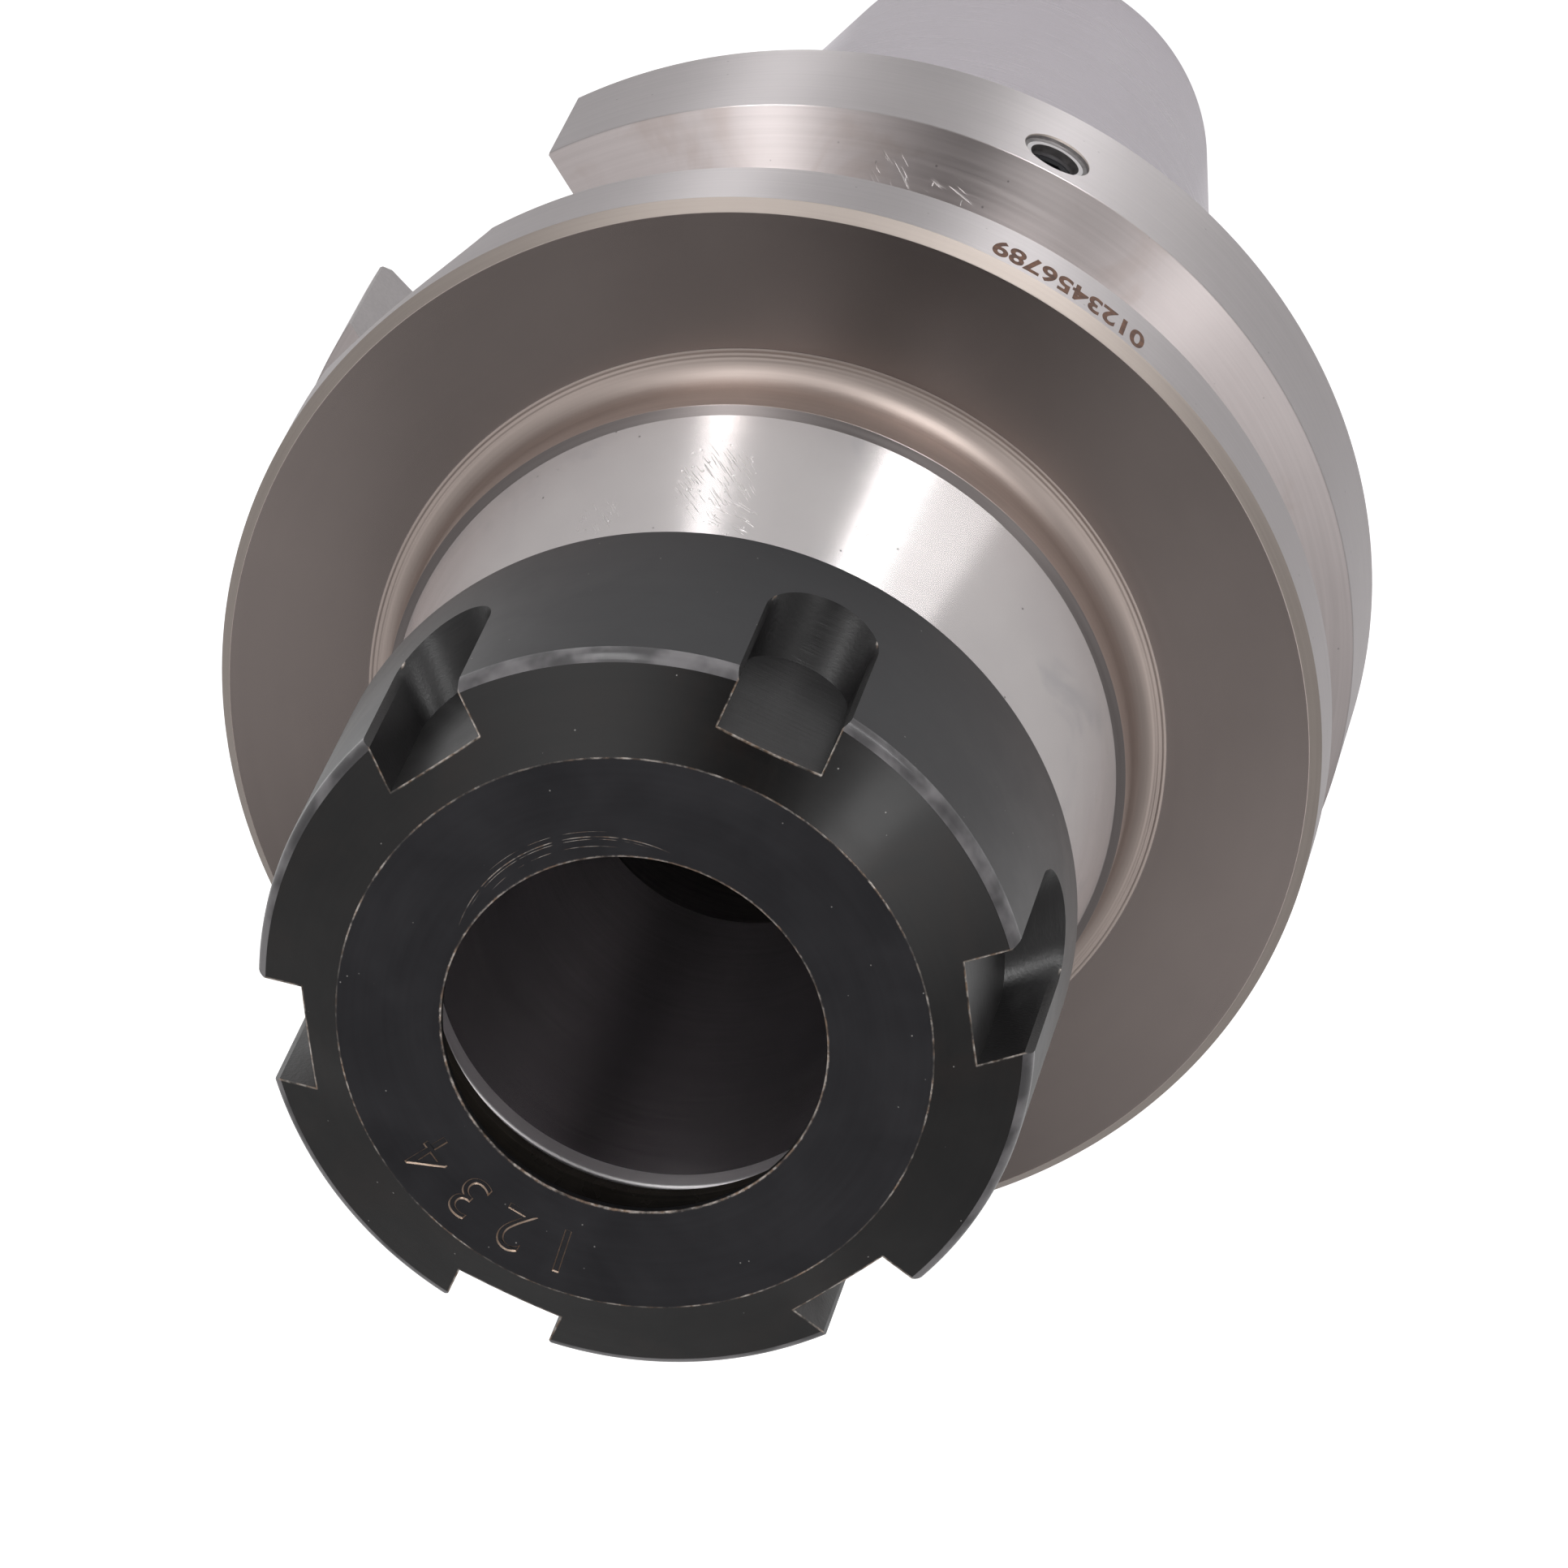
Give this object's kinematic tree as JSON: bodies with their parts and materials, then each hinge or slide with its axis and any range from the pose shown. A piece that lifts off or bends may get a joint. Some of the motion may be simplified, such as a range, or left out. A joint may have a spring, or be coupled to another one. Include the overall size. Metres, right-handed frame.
{
  "type": "collet chuck tool holder",
  "caption": "Steep-taper tool holder with a collet chuck nose: a flanged 7:24 shank with a V-groove and keyways, a conical neck and a slotted clamping nut that turns.",
  "frame": {"origin": "on the turning axis, at the small end of the taper shank, on which the part stands", "axes": "+Z along the turning axis from the shank to the nose; +X through the middle of one drive keyway; +Y completes a right-handed frame"},
  "size_m": [0.063, 0.063, 0.1334],
  "materials": {
    "ground_steel": "satin",
    "black_oxide_steel": "satin",
    "grub_screw_steel": "satin"
  },
  "bodies": {
    "holder": {"holder_body": "ground_steel", "rim_grub_screw_1": "grub_screw_steel", "rim_grub_screw_2": "grub_screw_steel", "face_grub_screw_1": "grub_screw_steel", "face_grub_screw_2": "grub_screw_steel"},
    "nut": {"clamping_nut": "black_oxide_steel"}
  },
  "joints": [
    {"name": "nut_spin", "type": "hinge", "parent": "holder", "child": "nut", "pos_m": [0, 0, 0.1234], "axis": [0, 0, 1], "continuous": true}
  ]
}
